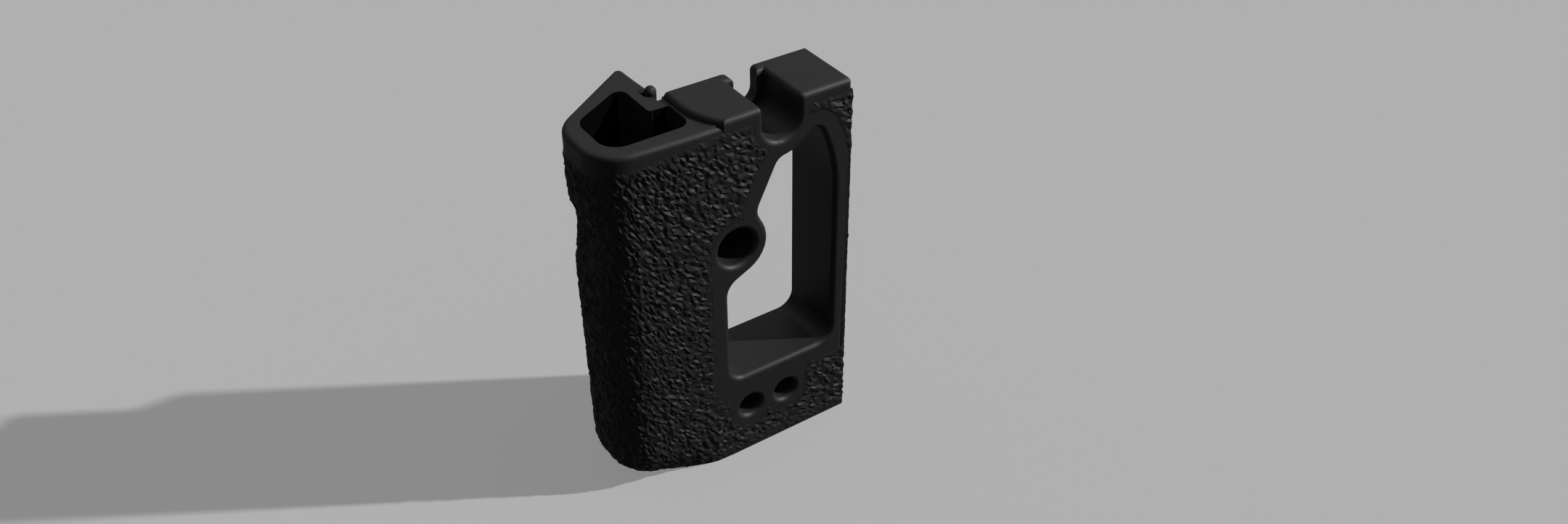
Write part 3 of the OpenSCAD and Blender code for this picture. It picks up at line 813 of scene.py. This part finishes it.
def net(regions, creases, uneven, seed):
    """Points and triangles over the regions of the sheet, and the region of each triangle."""
    draw = random.Random(seed)
    points, sides = lines_of(regions, creases)
    every = woven(np.array(points))
    low, high = every.min(0), every.max(0)
    rows = int((high[1] - low[1]) / facet_high) + 1
    columns = int((high[0] - low[0]) / facet_wide) + 2
    grid = np.array([(low[0] + (c + 0.5 * (r % 2) + draw.uniform(-uneven, uneven)) * facet_wide,
                      low[1] + (r + draw.uniform(-uneven, uneven)) * facet_high)
                     for r in range(rows) for c in range(columns)])
    within = np.zeros(len(grid), bool)
    for loops in regions.values():
        within |= inside(loops, unwoven(grid))
    grid = grid[within]
    grid = grid[clear_of([(every[a], every[b]) for a, b in sides], grid, least_gap)]
    corners = [Vector(p) for p in every] + [Vector(p) for p in grid]
    verts, _, faces, _, _, _ = delaunay_2d_cdt(corners, sides, [], 0, 1e-6)
    verts = unwoven(np.array([tuple(v) for v in verts]))
    middles = np.array([(verts[a] + verts[b] + verts[c]) / 3 for a, b, c in faces])
    owner = {}
    for name, loops in regions.items():
        for i in np.nonzero(inside(loops, middles))[0]:
            owner.setdefault(int(i), name)
    return [tuple(v) for v in verts], [(tuple(faces[i]), owner[i]) for i in sorted(owner)]


print("the net stays", round(least_gap / mm, 2), "mm off the outlines")

# %% [markdown]
# ## The outlines of the pads
#
# The pads' outlines aren't typed in again: they are the borders of the faces that the solids have at
# the front. Points that lie within a fit's gap of a neighbouring pad are moved onto it, so that the
# net runs from pad to pad without a slit.

# %% Outlines of the pads on the front, read from the solids
def front_loops(node):
    """The loops round the front faces of a solid, as points of x and z."""
    work = copy_of(node)
    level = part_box(node)[0].y
    faces = [f for f in work.faces if all(abs(v.co.y - level) < near for v in f.verts)]
    counts = {}
    for f in faces:
        for e in f.edges:
            counts[e] = counts.get(e, 0) + 1
    follow = {}
    for e, n in counts.items():
        if n == 1:
            for v in e.verts:
                follow.setdefault(v, []).append(e.other_vert(v))
    loops = []
    left = set(follow)
    while left:
        start = min(left, key=lambda v: tuple(v.co))
        loop, last, here = [start], None, start
        while True:
            ahead = [v for v in follow[here] if v is not last]
            last, here = here, ahead[0]
            if here is start:
                break
            loop.append(here)
        left -= set(loop)
        loops.append([(v.co.x, v.co.z) for v in loop])
    work.free()
    return loops


regions = {}
for node in ("upper_pad", "lower_pad", "side_skin"):
    regions[node] = front_loops(node)
    print(node, [len(loop) for loop in regions[node]], "outline points")

# %% Marks on the sheet
half_fit = 0.025 * mm
foot_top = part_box("foot_cap")[1].z + half_fit
foot_start = floor_z + 0.5 * mm
foot_zone, low_zone = floor_z + 10 * mm, floor_z + 30 * mm
side_end = edge_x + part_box("side_skin")[1].y - front_y
strip_x = min(p[0] for p in regions["side_skin"][0] if p[1] < foot_zone)
skin_end = seam_x - way[-1]
pad_top = max(p[1] for p in regions["side_skin"][0])
# How far below the rim the stipple starts, from the block's corner round the grip
band_marks = [(block_x, 1.8), (seam_x, 2.2), (seam_x - 17 * mm, 3.8), (seam_x - 25 * mm, 4.6),
              (seam_x - 32 * mm, 5.1), (seam_x - 45 * mm, 5.0), (skin_end, 4.6)]
print("the sheet runs from x", round(skin_end / mm, 1), "to", round(side_end / mm, 1), "mm")

# %% Join the outlines
pad_gap = 0.1 * mm
strip_slack = 0.11 * mm
foot_slack = 0.06 * mm
pad_start = rim_z - 2.65 * mm
turn_x = edge_x + 0.4 * mm


def snap(p):
    """Outline points within a fit's gap of a neighbour are moved onto it."""
    x, z = p
    if abs(x - seam_x) < pad_gap:
        x = seam_x
    if abs(x - (strip_x - pad_gap)) < strip_slack and z < low_zone:
        x = strip_x
    if abs(z - foot_top) < foot_slack:
        z = foot_top
    return x, z


def lifted(p):
    """The upper pad's top left corners follow the band below the rim."""
    x, z = p
    if abs(z - pad_start) < pad_gap:
        z = rim_z - (band_marks[0][1] if x > seam_x + near else band_marks[1][1]) * mm
    return x, z


for node in ("upper_pad", "lower_pad", "side_skin"):
    regions[node] = [[lifted(snap(p)) for p in loop] for loop in regions[node]]
outline = regions["side_skin"][0]
turn_at = next(i for i, p in enumerate(outline) if p[0] > turn_x and outline[i - 1][0] < turn_x)
ordered = [p for p in outline[turn_at:] + outline[:turn_at] if p[0] < turn_x]
if ordered[0][1] > ordered[-1][1]:
    ordered.reverse()
regions["side_skin"] = [ordered + [(side_end, pad_top), (side_end, foot_top)]]
regions["grip_skin"] = [[(seam_x, foot_top)] + [(x, rim_z - drop * mm) for x, drop in band_marks[1:]] +
                        [(skin_end, foot_top)]]
regions["foot_cap"] = [[(skin_end, foot_start), (side_end, foot_start),
                        (side_end, foot_top), (skin_end, foot_top)]]
creases = [((edge_x, foot_start), (edge_x, pad_top))]
print("side skin from", [round(c / mm, 2) for c in ordered[0]], "to", [round(c / mm, 2) for c in ordered[-1]])

# %% [markdown]
# ## The stipple itself
#
# Every point of the net that isn't on a border is lifted or pushed in by a random height, and the
# faces stay flat, so they catch the light like crushed foil. A border point sinks just below the
# smooth surface beside it and a little outwards, so that the stipple rises from it in an uneven line,
# as the real one does. Each pad is then closed with an inner side and walls.

# %% Find the net's borders
net_points, net_faces = net(regions, creases, uneven=0.40, seed=7)
edge_uses = {}
for face, _ in net_faces:
    for a, b in zip(face, face[1:] + face[:1]):
        edge_uses.setdefault((min(a, b), max(a, b)), []).append((a, b))
outset = {}
for uses in edge_uses.values():
    if len(uses) == 1:
        a, b = uses[0]
        ahead = Vector(net_points[b]) - Vector(net_points[a])
        out = Vector((ahead.y, -ahead.x)).normalized()
        for i in (a, b):
            outset[i] = outset.get(i, Vector((0, 0))) + out
beside = {i for face, _ in net_faces if any(i in outset for i in face) for i in face}
print("net:", len(net_points), "points,", len(net_faces), "faces,", len(outset), "on borders")

# %% Lift the net
lift_low, lift_high = -0.26 * mm, 0.40 * mm
border_lift, border_out, strip_out = -0.07 * mm, 0.22 * mm, 0.35 * mm
foot_least = 0.03 * mm
beside_share, crease_share = 0.6, 0.5
draw = random.Random(8)
top_points = []
for i, (u, v) in enumerate(net_points):
    lift = draw.uniform(lift_low, lift_high)
    if i in outset:
        out = outset[i].normalized() * (strip_out if u > strip_x - near else border_out)
        u, v, lift = u + out.x, v + out.y, border_lift
    elif i in beside:
        lift = abs(lift) * beside_share
    elif v < foot_top + near:
        lift = max(lift, foot_least)
    if abs(u - edge_x) < near:
        lift *= crease_share
    point, way_out = on_sheet(u, v)
    top_points.append(point + way_out * lift)
print("stipple from", round(lift_low / mm, 2), "to", round(lift_high / mm, 2), "mm off the sheet")

# %% Share the net out to the pads
pad_depth = 0.70 * mm
cover_depth = 0.25 * mm
inner_slope = 0.03


def under(u, v, depth):
    """The inner side of a pad, which stays in step along both sides of the right edge."""
    if u > edge_x:
        share = (u - edge_x) / (side_end - edge_x)
        return Vector((edge_x - depth, front_y + depth + share * (side_end - edge_x - depth), v))
    if u > strip_x - near:
        return Vector((edge_x - depth - inner_slope * (edge_x - u), front_y + depth, v))
    point, way_out = on_sheet(u, v)
    return point - way_out * depth


def stippled(name, depth):
    """A closed skin over one region of the net, as a mesh to work on."""
    work = bmesh.new()
    faces = [face for face, owner in net_faces if owner == name]
    used = sorted({i for face in faces for i in face})
    tops = {i: work.verts.new(top_points[i]) for i in used}
    feet = {i: work.verts.new(under(*net_points[i], depth)) for i in used}
    once = {}
    made = []
    for face in faces:
        made.append(work.faces.new([tops[i] for i in face]))
        made.append(work.faces.new([feet[i] for i in reversed(face)]))
        for a, b in zip(face, face[1:] + face[:1]):
            key = (min(a, b), max(a, b))
            if key in once:
                del once[key]
            else:
                once[key] = (a, b)
    for a, b in once.values():
        made.append(work.faces.new((tops[b], tops[a], feet[a], feet[b])))
    bmesh.ops.recalc_face_normals(work, faces=made)
    return work


for node in ("upper_pad", "lower_pad", "side_skin", "grip_skin"):
    piece(node + "_stippled", "bracket", stippled(node, pad_depth), stipple_rubber, "textured_rubber", node)
piece("foot_cap_stippled", "bracket", stippled("foot_cap", cover_depth), body_nylon, "body_polymer")

# %% [markdown]
# ## The smooth skirt below the rim
#
# Between the collar and the stipple lies a smooth band that widens to the left. It is a thin strip
# that follows the grip's own sections, from the collar's seat down to just behind the stipple's start.
# The sheet's function gives its points, so it fits the stipple without a measurement.

# %% The skirt
skirt_top = rim_z - 2.6 * mm
skirt_lap = 0.9 * mm
skirt_least = 0.3 * mm
work = bmesh.new()
marks = []
for a, b in zip(way, way[1:]):
    marks += [a, (a + b) / 2]
marks.append(way[-1])
band_x = [x for x, _ in band_marks][::-1]
band_drop = [drop for _, drop in band_marks][::-1]
rows = []
for u in marks:
    x = seam_x - u
    low = rim_z - float(np.interp(x, band_x, band_drop)) * mm - skirt_lap
    low = min(low, skirt_top - skirt_least)
    column = []
    for v, depth in ((low, 0.0), ((low + skirt_top) / 2, 0.0), (skirt_top, 0.0),
                     (skirt_top, pad_depth), (low, pad_depth)):
        point, way_out = on_grip(u, v)
        column.append(work.verts.new(point - way_out * depth))
    rows.append(column)
for a, b in zip(rows, rows[1:]):
    for k in range(len(a)):
        after = (k + 1) % len(a)
        work.faces.new((a[k], b[k], b[after], a[after]))
work.faces.new(rows[0])
work.faces.new(rows[-1][::-1])
bmesh.ops.recalc_face_normals(work, faces=work.faces)
smooth(piece("grip_skirt", "bracket", work, body_nylon, "body_polymer"))

# %% [markdown]
# ## The camera pad and the bead
#
# The pad on the camera face is thin and smooth, with a small radius on its rim. The bead that stops
# the camera's side is a round rubber rib with a domed top and the same texture, only finer. It is made
# of rings of points whose turns and radii are uneven, which is simpler than a net on a tube.

# %% Camera pad
pad_r = 0.15 * mm
work = copy_of("camera_pad")
pad_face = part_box("camera_pad")[1].y
rims = [e for e in work.edges if is_edge(e) and at_level(e, 1, pad_face)]
round_edges(work, rims, pad_r, 2)
smooth(piece("camera_pad_skived", "bracket", work, soft_rubber, "soft_pad", "camera_pad"))

# %% Rings of the bead
bead_low, bead_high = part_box("stop_bead")
bead_r = (bead_high.x - bead_low.x) / 2
bead_x, bead_y = (bead_low.x + bead_high.x) / 2, (bead_low.y + bead_high.y) / 2
bead_step, bead_dent, bead_uneven = 1.1 * mm, 0.12 * mm, 0.25
around_bead = 14
dome_rows = 5
straight = bead_high.z - bead_r - bead_low.z
row_count = round(straight / bead_step)
draw = random.Random(41)
work = bmesh.new()
rows = []
for k in range(row_count + dome_rows):
    over = max(0, k - row_count) / dome_rows * math.pi / 2
    z = bead_low.z + min(k, row_count) * straight / row_count + bead_r * math.sin(over)
    row = []
    for i in range(around_bead):
        turn = (i + 0.5 * (k % 2) + draw.uniform(-bead_uneven, bead_uneven)) * 2 * math.pi / around_bead
        r = (bead_r - bead_dent * draw.random()) * math.cos(over)
        row.append(work.verts.new((bead_x + r * math.cos(turn), bead_y + r * math.sin(turn), z)))
    rows.append(row)
print("bead:", len(rows), "rings of", around_bead, "points")

# %% Faces of the bead
for k, (a, b) in enumerate(zip(rows, rows[1:])):
    for i in range(around_bead):
        j = (i + 1) % around_bead
        if k % 2:
            work.faces.new((a[i], a[j], b[j]))
            work.faces.new((a[i], b[j], b[i]))
        else:
            work.faces.new((a[i], a[j], b[i]))
            work.faces.new((a[j], b[j], b[i]))
tip = work.verts.new((bead_x, bead_y, bead_high.z))
for i in range(around_bead):
    work.faces.new((rows[-1][i], rows[-1][(i + 1) % around_bead], tip))
work.faces.new(rows[0][::-1])
bmesh.ops.recalc_face_normals(work, faces=work.faces)
piece("stop_bead_stippled", "bracket", work, stipple_rubber, "soft_pad", "stop_bead")

# %% [markdown]
# ## The camera screw
#
# The screw is turned: a socket for a key, a knurled head, a smooth shank that runs in the plate, a
# groove for the clip, and a quarter inch thread of 20 turns to the inch. Every part of it is a row of
# rings along the axis, whose radius depends on the angle, so one function makes the head, the socket
# and the helix of the thread. A screw modifier would make the thread alone. The washer is made in the
# same way, as a ring of rings.

# %% Turned pieces
around = 72
turns = [2 * math.pi * i / around for i in range(around)]


def turned(name, body, rows, hollow, finish, slot, node):
    """A closed solid of rings round the screw's axis. A row is a place along it and a radius."""
    work = bmesh.new()
    rings = []
    for y, radius in rows:
        reach = [radius(i, y) if callable(radius) else radius for i in range(around)]
        rings.append([work.verts.new((r * math.cos(t), y, r * math.sin(t))) for r, t in zip(reach, turns)])
    for a, b in zip(rings, rings[1:] + rings[:1] if hollow else rings[1:]):
        for i in range(around):
            j = (i + 1) % around
            work.faces.new((a[i], a[j], b[j], b[i]))
    if not hollow:
        work.faces.new(rings[0])
        work.faces.new(rings[-1])
    bmesh.ops.recalc_face_normals(work, faces=work.faces)
    return smooth(piece(name, body, work, finish, slot, node))


print("turned pieces have", around, "points to a ring")

# %% Sizes of the screw
screw_low, screw_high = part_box("camera_screw")
head_r = screw_high.z
head_back = screw_low.y + 3.5 * mm
socket_floor = screw_low.y + 2.2 * mm
socket_flats = 3.97 * mm
socket_mouth = socket_flats / 2 * 1.25
knurl_depth = 0.15 * mm
shank_r, groove_r = 3.1 * mm, 2.4 * mm
groove_start, groove_end = -0.7 * mm, -0.1 * mm
thread_r, thread_root, thread_pitch = 3.175 * mm, 2.5 * mm, 25.4 / 20 * mm
thread_steep, thread_flat = 1.25, 0.1
thread_rows = 56
chamfer = 0.25 * mm
rim_in = 1.4 * chamfer
print("the head is", round((head_back - screw_low.y) / mm, 2), "mm high")

# %% The screw
def socket(i, y):
    """A hexagon with its flats square to the spokes between its corners."""
    return socket_flats / 2 / math.cos((turns[i] + math.pi / 6) % (math.pi / 3) - math.pi / 6)


def knurl(i, y):
    """The head's side, with every second point sunk."""
    return head_r - knurl_depth * (i % 2)


def helix(i, y):
    """The thread, whose flanks run out at the groove and at the tip."""
    phase = (y / thread_pitch + turns[i] / (2 * math.pi)) % 1.0
    flank = min(1.0, max(0.0, abs(2 * phase - 1) * thread_steep - thread_flat))
    r = thread_root + (thread_r - thread_root) * flank
    return min(r, thread_root + (screw_high.y - y), thread_root + 2 * (y - groove_end))


rows = [(socket_floor, socket), (screw_low.y + chamfer / 2, socket),
        (screw_low.y, socket_mouth), (screw_low.y, head_r - rim_in),
        (screw_low.y + chamfer, knurl), (head_back - chamfer, knurl), (head_back, head_r - rim_in),
        (head_back, shank_r), (groove_start, shank_r), (groove_start, groove_r), (groove_end, groove_r)]
thread_long = screw_high.y - groove_end
rows += [(groove_end + thread_long * k / thread_rows, helix) for k in range(thread_rows + 1)]
turned("camera_screw_turned", "screw", rows, False, bright_steel, "bright_steel", "camera_screw")

# %% The washer
washer_low, washer_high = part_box("screw_washer")
washer_hole = shank_r + 0.15 * mm
edge = 0.12 * mm
rows = [(washer_low.y, washer_hole + edge), (washer_low.y, washer_high.x - edge),
        (washer_low.y + edge, washer_high.x), (washer_high.y - edge, washer_high.x),
        (washer_high.y, washer_high.x - edge), (washer_high.y, washer_hole + edge),
        (washer_high.y - edge, washer_hole), (washer_low.y + edge, washer_hole)]
turned("screw_washer_turned", "washer", rows, True, bright_steel, "bright_steel", "screw_washer")

# %% [markdown]
# ## The small hardware
#
# The clip and the flat screws are stamped or turned parts whose edges are only broken, so a tiny bevel
# is enough. The dowels and the inserts are buried, and keep the solids' own meshes with a metal on them.

# %% The small screws, clip, dowels and inserts
broken_edge = 0.06 * mm
steep = math.radians(60)
for node in ("retaining_clip", "grip_screws", "foot_screws"):
    work = copy_of(node)
    sharp = [e for e in work.edges if is_edge(e) and e.calc_face_angle() > steep]
    round_edges(work, sharp, broken_edge, 2)
    body = "screw" if node == "retaining_clip" else "bracket"
    smooth(piece(node + "_dressed", body, work, black_steel, "black_steel", node))
for node, finish in (("foot_dowels", bright_steel), ("foot_inserts", brass)):
    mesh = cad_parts[node].data
    mesh.materials.clear()
    mesh.materials.append(finish)
    print(node, "made of", finish.name)

# %% [markdown]
# ## Sizes
#
# The dressed bracket has to keep the real size of its solids.
